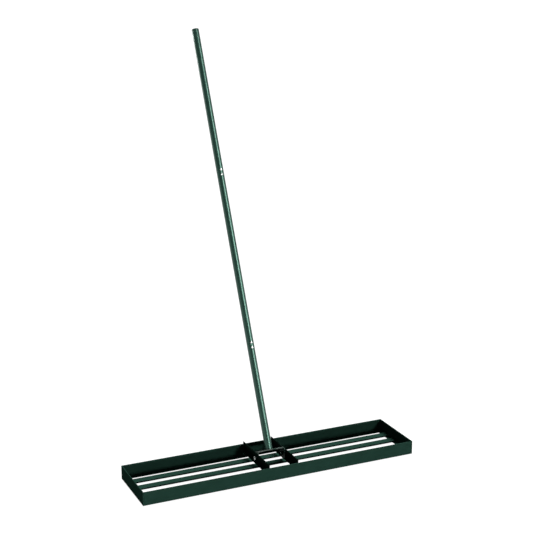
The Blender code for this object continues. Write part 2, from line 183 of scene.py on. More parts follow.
@dataclass(frozen=True)
class Spots:
    """Soft cloudy spots of a real width. More detail puts finer spots into them.

    Their height lies mostly between 0.3 and 0.7.
    """

    width_mm: float
    detail: float

    @property
    def settings(self) -> dict[str, float]:
        """The noise's scale, at which one spot is that wide, and its detail."""
        return {"Scale": 1 / (self.width_mm * MM), "Detail": self.detail}

    def level(self, tree: Tree, place: Socket, low: float, high: float) -> Socket:
        """A level that varies over the spots: their height, stretched from 0.3 and 0.7 to low and high.

        Args:
            tree: The material's node tree.
            place: Object coordinates.
            low: The level in the valleys.
            high: The level on the peaks.

        Returns:
            The level.
        """
        noise = add_node(tree, "ShaderNodeTexNoise", self.settings, {"Vector": place}).outputs["Fac"]
        stretch = {"From Min": 0.3, "From Max": 0.7, "To Min": low, "To Max": high}
        return add_node(tree, "ShaderNodeMapRange", stretch, {"Value": noise}).outputs["Result"]

    def relief(self, tree: Tree, place: Socket, depth_mm: float) -> Socket:
        """A surface that swells and sinks over the spots.

        Args:
            tree: The material's node tree.
            place: Object coordinates.
            depth_mm: How deep it is.

        Returns:
            The normal.
        """
        noise = add_node(tree, "ShaderNodeTexNoise", self.settings, {"Vector": place}).outputs["Fac"]
        depth = {"Distance": depth_mm * MM}
        return add_node(tree, "ShaderNodeBump", depth, {"Height": noise}).outputs["Normal"]


@dataclass(frozen=True, kw_only=True)
class Finish:
    """A finish whose colour, roughness and relief each vary over spots of a real width.

    The roughness runs from the mean less the swing to the mean plus the swing, so a swing below 0 makes the
    pale spots the smoother ones.
    """

    name: str
    slot: Slot
    deep: str
    pale: str
    roughness: float
    roughness_swing: float
    relief_mm: float
    colour_spots: Spots
    gloss_spots: Spots
    relief_spots: Spots

    def coat(self) -> Coat:
        """Build the node material.

        Returns:
            The material with its slot.
        """
        material, tree = new_material(self.name)
        place = add_node(tree, "ShaderNodeTexCoord", {}, {}).outputs["Object"]
        first, last = self.roughness - self.roughness_swing, self.roughness + self.roughness_swing
        links = {
            "Base Color": self.colour(tree, place),
            "Roughness": self.gloss_spots.level(tree, place, first, last),
            "Normal": self.relief_spots.relief(tree, place, self.relief_mm),
        }
        shader = add_node(tree, "ShaderNodeBsdfPrincipled", self.even_settings(), links)
        add_node(tree, "ShaderNodeOutputMaterial", {}, {"Surface": shader.outputs["BSDF"]})
        return Coat(material, self.slot)

    def even_settings(self) -> dict[str, Any]:
        """The shader's settings that are the same all over."""
        return {}

    def colour(self, tree: Tree, place: Socket) -> Socket:
        """The colour, which runs from deep to pale over its spots.

        Args:
            tree: The material's node tree.
            place: Object coordinates.

        Returns:
            The colour.
        """
        share = self.colour_spots.level(tree, place, 0.0, 1.0)
        ends = {MIX_FIRST: linear_from_hex(self.deep), MIX_SECOND: linear_from_hex(self.pale)}
        mixed = add_node(tree, "ShaderNodeMix", {"data_type": "RGBA", **ends}, {MIX_FACTOR: share})
        return mixed.outputs[MIX_RESULT]


@dataclass(frozen=True, kw_only=True)
class PowderCoat(Finish):
    """Polyester powder, sprayed on dry and baked: even colour, faint orange peel, thin along edges.

    The colour drifts a little with the film's thickness, over the width of the spray. The peel is a low
    swell a few millimetres wide. Where the film is thin the steel's edge shows paler, in patches; on the
    strap those pale patches are a grey painted highlight. Pieces mark such edges with their edge attribute.
    """

    worn: str
    specular: float
    tint: str = "9CFFD9"
    slot: Slot = Slot.PAINT
    roughness_swing: float = 0.04
    relief_mm: float = 0.05
    colour_spots: Spots = Spots(60.0, 3.0)
    gloss_spots: Spots = Spots(1.1, 2.0)
    relief_spots: Spots = Spots(2.4, 1.0)
    wear_spots: Spots = Spots(9.0, 2.0)
    wear_share: float = 0.3

    def even_settings(self) -> dict[str, Any]:
        """How strongly the film mirrors, and the green cast of what it mirrors."""
        return {"Specular IOR Level": self.specular, "Specular Tint": linear_from_hex(self.tint)}

    def colour(self, tree: Tree, place: Socket) -> Socket:
        """The film's drifting colour, paler in patches along marked edges.

        Args:
            tree: The material's node tree.
            place: Object coordinates.

        Returns:
            The colour.
        """
        film = super().colour(tree, place)
        # Pale edge patches: wear on most coats, and a grey painted highlight on the strap
        bare = self.wear_spots.level(tree, place, 0.0, self.wear_share)
        edge = add_node(tree, "ShaderNodeAttribute", {"attribute_name": "edge"}, {}).outputs["Fac"]
        thin = add_node(tree, "ShaderNodeMath", {"operation": "MULTIPLY"}, {0: edge, 1: bare})
        settings = {"data_type": "RGBA", MIX_SECOND: linear_from_hex(self.worn)}
        links = {MIX_FACTOR: thin.outputs["Value"], MIX_FIRST: film}
        return add_node(tree, "ShaderNodeMix", settings, links).outputs[MIX_RESULT]


@dataclass(frozen=True, kw_only=True)
class ZincPlate(Finish):
    """Bright zinc, electroplated on turned or pressed steel: a cold pale metal, faintly clouded.

    The pale clouds are the smoother ones. The plate's pits are really some hundredths of a millimetre wide,
    and are drawn ten times that, so that they show.
    """

    slot: Slot = Slot.ZINC
    roughness_swing: float = -0.03
    relief_mm: float = 0.001
    colour_spots: Spots = Spots(1.2, 2.0)
    gloss_spots: Spots = Spots(1.2, 2.0)
    relief_spots: Spots = Spots(0.35, 1.0)

    def even_settings(self) -> dict[str, Any]:
        """A bare metal."""
        return {"Metallic": 1.0}


@dataclass(frozen=True, kw_only=True)
class MouldedPolyethylene(Finish):
    """Polyethylene, injection moulded in a spark-eroded mould: satin, with a fine even grain.

    The real grain is about 0.2 mm wide. It is drawn at three times that, so that it shows.
    """

    specular: float = 0.25
    slot: Slot = Slot.PLASTIC
    roughness_swing: float = -0.05
    relief_mm: float = 0.03
    colour_spots: Spots = Spots(0.6, 1.0)
    gloss_spots: Spots = Spots(0.6, 1.0)
    relief_spots: Spots = Spots(0.6, 1.0)

    def even_settings(self) -> dict[str, Any]:
        """The weak mirroring of a waxy plastic."""
        return {"Specular IOR Level": self.specular}


@dataclass(frozen=True)
class Finishes:
    """The coats of the rake, each built once."""

    tray_paint: Coat
    # Near-black painted shade for the plates and the nuts
    plate_paint: Coat
    # Near-black painted shade, with a grey painted highlight along the strap's edges
    yoke_paint: Coat
    tube_paint: Coat
    zinc: Coat
    plastic: Coat


def make_finishes() -> Finishes:
    """Build the rake's six materials: four coats of powder, one of zinc, and the cap's plastic.

    Returns:
        The coats by their use.
    """
    return Finishes(
        # A matting powder over welded bars: one flat dark green that mirrors nothing
        tray_paint=PowderCoat(
            name="powder_coat_matt_green",
            deep="213B32",
            pale="243F36",
            worn="4A6A5F",
            roughness=0.66,
            specular=0.0,
        ).coat(),
        # The same powder made nearly black on the plates and the nuts: painted shade, a far darker green
        # than the tray's, for the shade these parts sit in; and as dull
        plate_paint=PowderCoat(
            name="powder_coat_black_green",
            deep="0F1D18",
            pale="13221D",
            worn="2A3B35",
            roughness=0.66,
            specular=0.0,
        ).coat(),
        # The same near-black painted shade on the strap, with a grey painted highlight in patches along its
        # top and bends, and a slight sheen
        yoke_paint=PowderCoat(
            name="powder_coat_rubbed_black_green",
            deep="0F1D18",
            pale="13221D",
            worn="6E706F",
            roughness=0.5,
            specular=0.1,
            wear_share=1.0,
        ).coat(),
        # A satin powder that flows out on smooth drawn tube: a low peel and a long clean highlight
        tube_paint=PowderCoat(
            name="powder_coat_satin_green",
            deep="213C33",
            pale="264239",
            worn="4A6A5F",
            roughness=0.25,
            specular=0.65,
            tint="C4FFEA",
            relief_mm=0.02,
        ).coat(),
        # Plated in a bright bath over cold headed steel: pale cold glints from small rounded forms
        zinc=ZincPlate(name="bright_zinc_plate", deep="D5DAD8", pale="F2F6F4", roughness=0.32).coat(),
        # Coloured through and moulded: the tubes' green without their highlight
        plastic=MouldedPolyethylene(
            name="moulded_polyethylene_green", deep="1F3A31", pale="26453B", roughness=0.5
        ).coat(),
    )


# Surfaces


@dataclass(frozen=True)
class Placement:
    """A local frame: its origin, and its x, y and z axes as the rows of a matrix."""

    origin: np.ndarray
    axes: np.ndarray


@dataclass(frozen=True)
class Surface:
    """Points in rows and columns, with the faces between them and a mark for exposed edges."""

    points: np.ndarray
    faces: list[list[int]]
    edge: np.ndarray

    def placed(self, place: Placement) -> "Surface":
        """The surface in a local frame: the frame's origin, plus each coordinate times its axis."""
        return Surface(place.origin + self.points @ place.axes, self.faces, self.edge)


def unit(vectors: np.ndarray) -> np.ndarray:
    """Vectors divided by their lengths."""
    return vectors / np.linalg.norm(vectors, axis=-1, keepdims=True)


def grid_faces(rows: int, columns: int, closed: bool) -> list[list[int]]:
    """Quads between the neighbours of a grid numbered row by row, where each row is a closed ring.

    Args:
        rows: Number of rows.
        columns: Number of points in a row.
        closed: The last row joins the first.

    Returns:
        Four point numbers a quad.
    """
    row, column = np.meshgrid(np.arange(rows if closed else rows - 1), np.arange(columns), indexing="ij")
    next_row, next_column = (row + 1) % rows, (column + 1) % columns
    quads = [
        row * columns + column,
        row * columns + next_column,
        next_row * columns + next_column,
        next_row * columns + column,
    ]
    return np.stack(quads, axis=-1).reshape(-1, 4).tolist()


def capped_faces(rows: int, columns: int) -> list[list[int]]:
    """The quads between the rings of a grid, and one flat face over each end."""
    ends = [list(range(columns)), list(range((rows - 1) * columns, rows * columns))]
    return grid_faces(rows, columns, False) + ends


def rounded_outline(
    corners: Sequence[tuple[float, float]], radii: Sequence[float], steps: int, lead: float
) -> tuple[np.ndarray, np.ndarray]:
    """A closed outline whose corners are arcs, with a point on the straight on each side of an arc.

    With b and a the unit directions before and after a corner, and h half the angle between its sides, the
    arc starts r / tan h before the corner, and its centre lies r / sin h from it along a - b. The points in
    between turn evenly from the first radius to the last.

    Args:
        corners: Corner points, anticlockwise.
        radii: Radius of each corner.
        steps: Steps in an arc.
        lead: Length of straight between an arc and its extra point.

    Returns:
        The points, and for each 1 on an arc and 0 on a straight.
    """
    corner = np.array(corners, float)
    radius = np.array(radii, float)[:, None]
    before = unit(corner - np.roll(corner, 1, axis=0))
    after = unit(np.roll(corner, -1, axis=0) - corner)
    half = 0.5 * np.arccos(-(before * after).sum(axis=1, keepdims=True))
    start = corner - before * radius / np.tan(half)
    end = corner + after * radius / np.tan(half)
    centre = corner + unit(after - before) * radius / np.sin(half)
    turn = (math.pi - 2 * half)[:, None]
    t = np.linspace(0, 1, steps + 1)[None, :, None]
    arm_in = (start - centre)[:, None]
    arm_out = (end - centre)[:, None]
    arc = centre[:, None] + (np.sin((1 - t) * turn) * arm_in + np.sin(t * turn) * arm_out) / np.sin(turn)
    outline = np.concatenate([(start - before * lead)[:, None], arc, (end + after * lead)[:, None]], axis=1)
    on_arc = np.ones(outline.shape[:2])
    on_arc[:, (0, -1)] = 0
    return outline.reshape(-1, 2), on_arc.ravel()


def outward(outline: np.ndarray) -> np.ndarray:
    """Unit normals of an anticlockwise closed outline, square to the line between a point's neighbours."""
    along = np.roll(outline, -1, axis=0) - np.roll(outline, 1, axis=0)
    return unit(np.stack([along[:, 1], -along[:, 0]], axis=1))


def bar(outline: np.ndarray, on_arc: np.ndarray, length: float, rounding: float) -> Surface:
    """A straight bar with rounded end edges and flat ends.

    The outline is carried along z. Near each end it moves inwards by r (1 - cos a) while z moves by
    r (1 - sin a), for a from a quarter turn to 0. One more outline, r / 2 further in, edges the flat end,
    and another, r further along, starts the straight.

    Args:
        outline: Closed section.
        on_arc: 1 where the section is on a corner's arc.
        length: Length along z.
        rounding: Radius r of the end edges.

    Returns:
        The surface, from z = 0 to z = length.
    """
    angle = np.radians([90, 90, 60, 30, 0, 0])
    inset = rounding * (1 - np.cos(angle))
    inset[0] += rounding / 2
    rise = rounding * (1 - np.sin(angle))
    rise[-1] += rounding
    inwards = np.concatenate([inset, inset[::-1]])
    height = np.concatenate([rise, length - rise[::-1]])
    flat = outline[None] - outward(outline)[None] * inwards[:, None, None]
    rows, columns = len(height), len(outline)
    z = np.broadcast_to(height[:, None, None], (rows, columns, 1))
    at_end = (inwards > 0) & (inwards < rounding)
    edge = np.maximum(np.broadcast_to(on_arc, (rows, columns)), at_end[:, None])
    points = np.concatenate([flat, z], axis=2).reshape(-1, 3)
    return Surface(points, capped_faces(rows, columns), edge.ravel())


def polar(
    rings: Sequence[Sequence[np.ndarray | float]],
    segments: int,
    closed: bool,
    edge: np.ndarray | float = 0.0,
) -> Surface:
    """A surface round the z axis: at row i and angle q it is at radius[i, q] and height[i, q].

    Args:
        rings: Radius and height of a ring or of several. A number holds all round, an array with one value
            for each angle is one ring, and a column is one ring for each of its values.
        segments: Steps round.
        closed: The last ring joins the first.
        edge: Edge mark by ring.

    Returns:
        The surface.
    """
    all_round = np.zeros((1, segments))
    full = [np.stack(np.broadcast_arrays(*np.atleast_2d(*ring), all_round)[:2]) for ring in rings]
    radius, height = np.concatenate(full, axis=1)
    angle = np.linspace(0, 2 * math.pi, segments, endpoint=False)
    points = np.stack([radius * np.cos(angle), radius * np.sin(angle), height], axis=2).reshape(-1, 3)
    mark = np.broadcast_to(np.reshape(edge, (-1, 1)), radius.shape)
    return Surface(points, grid_faces(len(radius), segments, closed), mark.ravel())


def hexagon(flats: float, segments: int) -> np.ndarray:
    """Radius of a hexagon by angle: half the flats, over the cosine of the angle from the nearest flat."""
    from_flat = np.linspace(0, 360, segments, endpoint=False) % 60 - 30
    return flats / 2 / np.cos(np.radians(from_flat))


def hex_nut(
    flats: float, tall: float, bore: float, circle: float, chamfer: float, segments: int
) -> Surface:
    """A bored nut from z = 0, whose top corners are cut by a cone that starts at a circle on its top.

    Args:
        flats: Width across flats.
        tall: Height.
        bore: Radius of the bore.
        circle: Radius of the cone's first circle.
        chamfer: Size of the cut where the bore meets the top.
        segments: Steps round.

    Returns:
        The surface.
    """
    hexes = hexagon(flats, segments)
    rings = [
        (bore, 0.0),
        (hexes, 0.0),
        (hexes, tall - (hexes - circle) * CONE_SLOPE),
        (circle, tall),
        (bore + chamfer, tall),
        (bore, tall - chamfer),
    ]
    return polar(rings, segments, True)


# Pieces


@dataclass(frozen=True)
class Solid:
    """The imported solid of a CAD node."""

    node: str

    @property
    def points(self) -> np.ndarray:
        """The solid's points.

        Returns:
            One point a row.
        """
        mesh = frame["nodes"][self.node].data
        flat = np.empty(len(mesh.vertices) * 3)
        mesh.vertices.foreach_get("co", flat)
        return flat.reshape(-1, 3)

    @property
    def low(self) -> np.ndarray:
        """The lowest corner of the solid's box."""
        return np.array(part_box(self.node)[0])

    @property
    def high(self) -> np.ndarray:
        """The highest corner of the solid's box."""
        return np.array(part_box(self.node)[1])


def add_object(name: str, data: bpy.types.ID) -> bpy.types.Object:
    """Make an object at the origin and put it into the scene.

    Args:
        name: The object's name.
        data: Its mesh, lamp or camera.

    Returns:
        The object.
    """
    thing = bpy.data.objects.new(name, data)
    bpy.context.scene.collection.objects.link(thing)
    return thing


def add_piece(name: str, node: str, surface: Surface, coat: Coat, body: Body) -> None:
    """Make a closed, smooth-shaded piece that stands for a CAD node and moves with a body.

    Args:
        name: The piece's name.
        node: The CAD node that it stands for.
        surface: Its surface in the shared frame.
        coat: Its finish.
        body: The body that it rides on.
    """
    mesh = bpy.data.meshes.new(name)
    mesh.from_pydata(surface.points.tolist(), [], surface.faces)
    mark = mesh.attributes.new("edge", "FLOAT", "POINT")
    mark.data.foreach_set("value", surface.edge.astype(np.float32))
    shape = bmesh.new()
    shape.from_mesh(mesh)
    bmesh.ops.remove_doubles(shape, verts=shape.verts, dist=MERGE_DISTANCE)
    bmesh.ops.recalc_face_normals(shape, faces=shape.faces)
    shape.to_mesh(mesh)
    shape.free()
    mesh.shade_smooth()
    mesh.set_sharp_from_angle(angle=math.radians(SHARP_DEG))
    mesh.materials.append(coat.material)
    piece = add_object(name, mesh)
    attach(piece, body.value)
    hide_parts(node)
    log.info("%s: %d faces on %s", name, len(mesh.polygons), body.value)


def dress(node: str, coat: Coat) -> None:
    """Give a CAD node that stays its finish.

    Args:
        node: The node's name.
        coat: Its finish.
    """
    solid = frame["nodes"][node]
    for place in solid.material_slots:
        place.material = coat.material
    log.info("%s: the CAD solid stays", node)


# Tray


@dataclass(frozen=True)
class WeldBead:
    """A straight fillet bead in the corner between two faces.

    With s along the bead and t from 0 to 1 across it, a point lies leg (1 - t) out on the first face and
    leg t out on the second, lifted by a swell of sin(pi t) and by ripples |sin(pi (s / pitch + c))|, where
    c grows with (2 t - 1) squared, which bends each ripple into a crescent. Both ends narrow as a circle.
    """

    node: str
    first_leg: tuple[float, float, float]
    second_leg: tuple[float, float, float]
    gap: float = 0.0003
    sink: float = 0.0001
    leg: float = 0.0031
    swell: float = 0.0003
    ripple: float = 0.00045
    pitch: float = 0.0024
    crescent: float = 0.45
    rows_per_ripple: int = 6
    columns: int = 9

    def surface(self) -> Surface:
        """Work the bead out from the corner that its solid lies in.

        Returns:
            The surface in the shared frame.
        """
        solid = Solid(self.node)
        first, second = np.array(self.first_leg), np.array(self.second_leg)
        along, legs = np.cross(first, second), first + second
        # The solid stands clear of both faces, and the bead starts in the corner and a little into them
        start = np.where(legs + along > 0, solid.low, solid.high) - legs * (self.gap + self.sink)
        length = float((solid.high - solid.low) @ abs(along))

        rows = int(length / self.pitch * self.rows_per_ripple)
        s = np.linspace(0, length, rows)[:, None]
        t = np.linspace(0, 1, self.columns)[None]
        from_end = np.clip(np.minimum(s, length - s) / self.leg, 0, 1)
        taper = np.sqrt(1 - (1 - from_end) ** 2)
        phase = s / self.pitch + self.crescent * (2 * t - 1) ** 2
        lift = np.sin(math.pi * t) * (self.swell + self.ripple * np.abs(np.sin(math.pi * phase)))
        x = taper * (self.leg * (1 - t) + lift / math.sqrt(2))
        y = taper * (self.leg * t + lift / math.sqrt(2))
        face = np.stack([x, y, np.broadcast_to(s, x.shape)], axis=2)
        root = np.stack([0 * s, 0 * s, s], axis=2)
        points = np.concatenate([root, face], axis=1).reshape(-1, 3)
        surface = Surface(points, grid_faces(rows, self.columns + 1, False), np.zeros(len(points)))
        return surface.placed(Placement(start, np.stack([first, second, along])))


@dataclass
class Tray:
    """The welded tray: rolled angle bars, flat bars, two upright plates and the beads between them."""

    finishes: Finishes
    bar_thickness: float = 0.003
    heel_radius: float = 0.0009
    toe_radius: float = 0.0012
    root_radius: float = 0.002
    end_rounding: float = 0.0004
    slat_edge_radius: float = 0.0012
    arc_steps: int = 4
    lead: float = 0.0004

    def build(self) -> None:
        """Build every piece of the tray."""
        self.build_long_walls()
        self.build_slats()
        self.dress_flat_pieces()
        self.build_beads()

    def add_rolled(
        self, node: str, corners: Sequence[tuple[float, float]], radii: Sequence[float], place: Placement
    ) -> None:
        """Carry a rolled section along a bar.

        Args:
            node: The bar's CAD node.
            corners: The section's corners, anticlockwise.
            radii: Radius of each corner.
            place: The section's frame, whose z axis runs along the bar.
        """
        outline, on_arc = rounded_outline(corners, radii, self.arc_steps, self.lead)
        length = float(Solid(node).high[0] - Solid(node).low[0])
        surface = bar(outline, on_arc, length, self.end_rounding).placed(place)
        add_piece(f"rolled_{node}", node, surface, self.finishes.tray_paint, Body.TRAY)

    def build_long_walls(self) -> None:
        """Give the front wall and the rear wall an angle section, with a round root and rolled edges."""
        up = np.array([0.0, 0.0, 1.0])
        thick, heel, toe = self.bar_thickness, self.heel_radius, self.toe_radius
        for node, inward in (("front_wall", 1.0), ("rear_wall", -1.0)):
            solid = Solid(node)
            _, width, height = solid.high - solid.low
            corners = [(0, 0), (width, 0), (width, thick), (thick, thick), (thick, height), (0, height)]
            across = np.array([0.0, inward, 0.0])
            start = np.where(np.array([inward, inward, 1.0]) > 0, solid.low, solid.high)
            place = Placement(start, np.stack([across, up, np.cross(across, up)]))
            self.add_rolled(node, corners, [heel, heel, toe, self.root_radius, toe, heel], place)

    def build_slats(self) -> None:
        """Give each slat a flat bar's section with rolled edges."""
        axes = np.array([[0.0, 1.0, 0.0], [0.0, 0.0, 1.0], [1.0, 0.0, 0.0]])
        for node in ("rear_slat", "middle_slat", "front_slat"):
            solid = Solid(node)
            _, width, thick = solid.high - solid.low
            corners = [(0, 0), (width, 0), (width, thick), (0, thick)]
            self.add_rolled(node, corners, [self.slat_edge_radius] * 4, Placement(solid.low, axes))

    def dress_flat_pieces(self) -> None:
        """Paint the coped end walls and the drilled plates, whose solids have their real shape."""
        for side in Side:
            dress(f"{side.word}_end_wall", self.finishes.tray_paint)
            # The plates take the near-black coat, which is painted shade
            dress(f"{side.word}_pivot_plate", self.finishes.plate_paint)

    def build_beads(self) -> None:
        """Lay the rippled beads in the corners, at the slats' ends and at the plates' ends."""
        walls = (("front", (0.0, 1.0, 0.0)), ("rear", (0.0, -1.0, 0.0)))
        beads = []
        for side in Side:
            out, into = (float(side.value), 0.0, 0.0), (float(-side.value), 0.0, 0.0)
            for wall, inward in walls:
                beads.append(WeldBead(f"{wall}_{side.word}_corner_weld", into, inward))
            for slat in ("rear", "middle", "front"):
                beads.append(WeldBead(f"{slat}_slat_{side.word}_weld", into, (0.0, 0.0, 1.0)))
            for wall, inward in walls:
                for face, leg in (("outer", out), ("inner", into)):
                    beads.append(WeldBead(f"{side.word}_plate_{wall}_{face}_weld", leg, inward))
        for bead in beads:
            name = bead.node.replace("weld", "bead")
            add_piece(name, bead.node, bead.surface(), self.finishes.tray_paint, Body.TRAY)


# Handle


@dataclass(frozen=True)
class HandleAxis:
    """The handle's own frame: x is the pivot, z runs up the tubes, and -y faces the front."""

    origin: np.ndarray
    across: np.ndarray
    back: np.ndarray
    up: np.ndarray

    @classmethod
    def from_frame(cls) -> "HandleAxis":
        """Read the pivot from the joint, and the lean from the pivot and the upper tube.

        Returns:
            The handle's frame.
        """
        joint = frame["joints"][0]
        origin = np.array(joint["pos_m"], float)
        across = unit(np.array(joint["axis"], float))
        tube = Solid("upper_tube")
        up = unit((tube.low + tube.high) / 2 - origin)
        return cls(origin, across, np.cross(up, across), up)

    def span(self, node: str, direction: np.ndarray) -> tuple[float, float]:
        """Where a solid starts and ends along a direction from the pivot."""
        along = (Solid(node).points - self.origin) @ direction
        return float(along.min()), float(along.max())

    def reach(self, node: str) -> float:
        """A solid's largest distance from the tubes' centre line.

        Args:
            node: The solid's CAD node.

        Returns:
            The distance.
        """
        offset = Solid(node).points - self.origin
        across = offset - np.outer(offset @ self.up, self.up)
        return float(np.linalg.norm(across, axis=1).max())

    def upright(self) -> Placement:
        """A frame at the pivot, whose z axis runs up the tubes."""
        return Placement(self.origin, np.stack([self.across, self.back, self.up]))

    def facing(self, direction: np.ndarray, out: float, rise: float = 0.0) -> Placement:
        """A frame so far out from the pivot and up the tubes, with z along the direction and y up."""
        origin = self.origin + out * direction + rise * self.up
        return Placement(origin, np.stack([np.cross(self.up, direction), self.up, direction]))


@dataclass
class SwivelYoke:
    """The strap bent into an upside-down U, and the bead that holds the lowest tube on it.

    The strap's section is a rounded rectangle, thickness t and half width w, carried along the strap's
    middle line. On a leg's round end, at angle b round the pivot, the station is at z = -R cos b and
    w = R sin b. Then come the straight leg, a quarter circle, and half the top, and the other half mirrors.
    """

    finishes: Finishes
    axis: HandleAxis
    thickness: float = 0.004
    bend_radius: float = 0.003
    edge_radius: float = 0.0008
    lead: float = 0.0003
    first_end_deg: float = 6.0
    # How far down a leg the grey painted highlight fades out, and how strong it is at the leg's top
    rub_reach: float = 0.006
    leg_top_rub: float = 0.6
    end_steps: int = 14
    bend_steps: int = 8
    arc_steps: int = 3
    ring_segments: int = 168
    ring_leg: float = 0.0016
    ring_lift: float = 0.00035
    ring_sink: float = 0.0001
    ring_drop: float = 0.0004
    ring_ripples: int = 42
    ring_crescent: float = 0.45
    ring_columns: int = 7

    def build(self) -> None:
        """Build the strap and the ring bead."""
        paint = self.finishes.yoke_paint
        add_piece("bent_yoke_strap", "swivel_yoke", self.strap(), paint, Body.HANDLE)
        add_piece("tube_foot_bead", "yoke_weld", self.ring(), paint, Body.HANDLE)

    def stations(self) -> np.ndarray:
        """The stations along the strap, from the end of one leg to the end of the other.

        Returns:
            For each station x and z of the middle line, x and z of its outward normal, half the strap's
            width, and how strongly its edges carry the grey painted highlight.
        """
        low, high = self.axis.span("swivel_yoke", self.axis.up)
        outer = self.axis.span("swivel_yoke", self.axis.across)[1]
        width = -low
        leg_x, top_z = outer - self.thickness / 2, high - self.thickness / 2
        bend = self.bend_radius + self.thickness / 2
        bend_x, bend_z = leg_x - bend, top_z - bend
        leg_top = bend_z - self.lead
        end = np.radians(np.linspace(self.first_end_deg, 90, self.end_steps))
        turn = np.radians(np.linspace(0, 90, self.bend_steps + 1))
        cos, sin = np.cos(turn), np.sin(turn)
        blocks = [
            (leg_x, -width * np.cos(end), 1, 0, width * np.sin(end), 0),
            (leg_x, leg_top - self.rub_reach, 1, 0, width, 0),
            (leg_x, leg_top, 1, 0, width, self.leg_top_rub),
            (bend_x + bend * cos, bend_z + bend * sin, cos, sin, width, 1),
            (bend_x - self.lead, top_z, 0, 1, width, 1),
            (leg_x / 3, top_z, 0, 1, width, 1),
        ]
        half = np.concatenate(
            [np.stack(np.broadcast_arrays(*np.atleast_1d(*block)), axis=1) for block in blocks]
        )
        return np.concatenate([half, half[::-1] * np.array([-1, 1, -1, 1, 1, 1])])

    def strap(self) -> Surface:
        """Carry the strap's section along its middle line.

        Returns:
            The surface in the shared frame.
        """
        signs = [(-1.0, -1.0), (1.0, -1.0), (1.0, 1.0), (-1.0, 1.0)]
        outline, _ = rounded_outline(signs, [self.edge_radius] * 4, self.arc_steps, self.lead)
        corner = np.repeat(signs, self.arc_steps + 3, axis=0)
        inset = outline - corner
        x, z, normal_x, normal_z, half_width, highlit = (column[:, None] for column in self.stations().T)
        sideways = corner[:, 0] * half_width + inset[:, 0]
        outwards = corner[:, 1] * self.thickness / 2 + inset[:, 1]
        points = np.stack([x + outwards * normal_x, sideways, z + outwards * normal_z], axis=2)
        # The grey painted highlight lies on the section's edge arcs
        on_edge = highlit * (np.abs(inset[:, 0]) < self.edge_radius / 2)
        surface = Surface(points.reshape(-1, 3), capped_faces(*sideways.shape), on_edge.ravel())
        return surface.placed(self.axis.upright())

    def ring(self) -> Surface:
        """The fillet bead round the tube's foot, with the same crescent ripples as a straight bead.

        Returns:
            The surface in the shared frame.
        """
        inner = self.axis.reach("lower_tube") - self.ring_sink
        floor = self.axis.span("lower_tube", self.axis.up)[0] - self.ring_drop
        turns = np.linspace(0, 1, self.ring_segments, endpoint=False)
        t = np.linspace(0, 1, self.ring_columns)[:, None]
        phase = turns * self.ring_ripples + self.ring_crescent * (2 * t - 1) ** 2
        lift = np.sin(math.pi * t) * self.ring_lift * (0.5 + 0.5 * np.abs(np.sin(math.pi * phase)))
        face = (inner + self.ring_leg * (1 - t) + lift, floor + self.ring_leg * t + lift)
        return polar([face, (inner, floor)], self.ring_segments, True).placed(self.axis.upright())


@dataclass
class PivotFasteners:
    """The two hex bolts through the plates, and the nuts welded inside the yoke.

    A hexagon's corners are cut by a 30 degree cone: the height falls by tan 30 for each unit of radius
    beyond the cone's first circle. A bolt's head is a dome inside that circle, whose height falls with the
    square of the radius, and a quarter circle rounds its rim, as cold heading leaves them.
    """

    finishes: Finishes
    axis: HandleAxis
    flats: float = 0.013
    shank_radius: float = 0.004
    gap: float = 0.0003
    washer_height: float = 0.0004
    washer_share: float = 0.485
    chamfer: float = 0.0006
    crown: float = 0.0006
    circle_share: float = 0.43
    rim_radius: float = 0.0005
    rim_rows: int = 6
    face_rows: int = 14
    face_share: float = 0.94
    segments: int = 96

    def build(self) -> None:
        """Build a bolt and a nut on each side."""
        for side in Side:
            bolt, nut = f"{side.word}_pivot_bolt", f"{side.word}_pivot_nut"
            add_piece(f"{bolt}_hex", bolt, self.bolt(side), self.finishes.zinc, Body.HANDLE)
            # The nuts take the same near-black painted shade as the plates
            add_piece(f"{nut}_hex", nut, self.nut(side), self.finishes.plate_paint, Body.HANDLE)

    def bolt(self, side: Side) -> Surface:
        """A bolt from its tip to the top of its head, on the plate's outer face.

        Args:
            side: The bolt's side.

        Returns:
            The surface in the shared frame.
        """
        direction = side.value * self.axis.across
        seat = self.axis.span(f"{side.word}_pivot_plate", direction)[1]
        tip, top = (place - seat for place in self.axis.span(f"{side.word}_pivot_bolt", direction))
        hexes = hexagon(self.flats, self.segments)
        circle, washer = self.circle_share * self.flats, self.washer_share * self.flats
        turn = np.append(np.linspace(0, math.pi / 2, self.rim_rows), np.full(self.face_rows, math.pi / 2))
        share = np.append(np.ones(self.rim_rows), np.linspace(self.face_share, 0, self.face_rows))
        turn, share = turn[:, None], share[:, None]
        across = share * (hexes - self.rim_radius * (1 - np.cos(turn)))
        dome = self.crown * np.minimum(across / circle, 1) ** 2
        cone = np.maximum(across - circle, 0) * CONE_SLOPE
        rings = [
            (0.0, tip),
            (self.shank_radius - self.chamfer, tip),
            (self.shank_radius, tip + self.chamfer),
            (self.shank_radius, 0.0),
            (washer, 0.0),
            (washer, self.washer_height),
            (hexes, self.washer_height),
            (across, top - dome - cone - self.rim_radius * (1 - np.sin(turn))),
        ]
        return polar(rings, self.segments, False).placed(self.axis.facing(direction, seat))

    def nut(self, side: Side) -> Surface:
        """A nut on the yoke's inner face, bored for the bolt.

        Args:
            side: The nut's side.

        Returns:
            The surface in the shared frame.
        """
        direction = -side.value * self.axis.across
        low, top = self.axis.span(f"{side.word}_pivot_nut", direction)
        bore, circle = self.shank_radius + self.gap, self.circle_share * self.flats
        nut = hex_nut(self.flats, top - low + self.gap, bore, circle, self.chamfer, self.segments)
        return nut.placed(self.axis.facing(direction, low - self.gap))


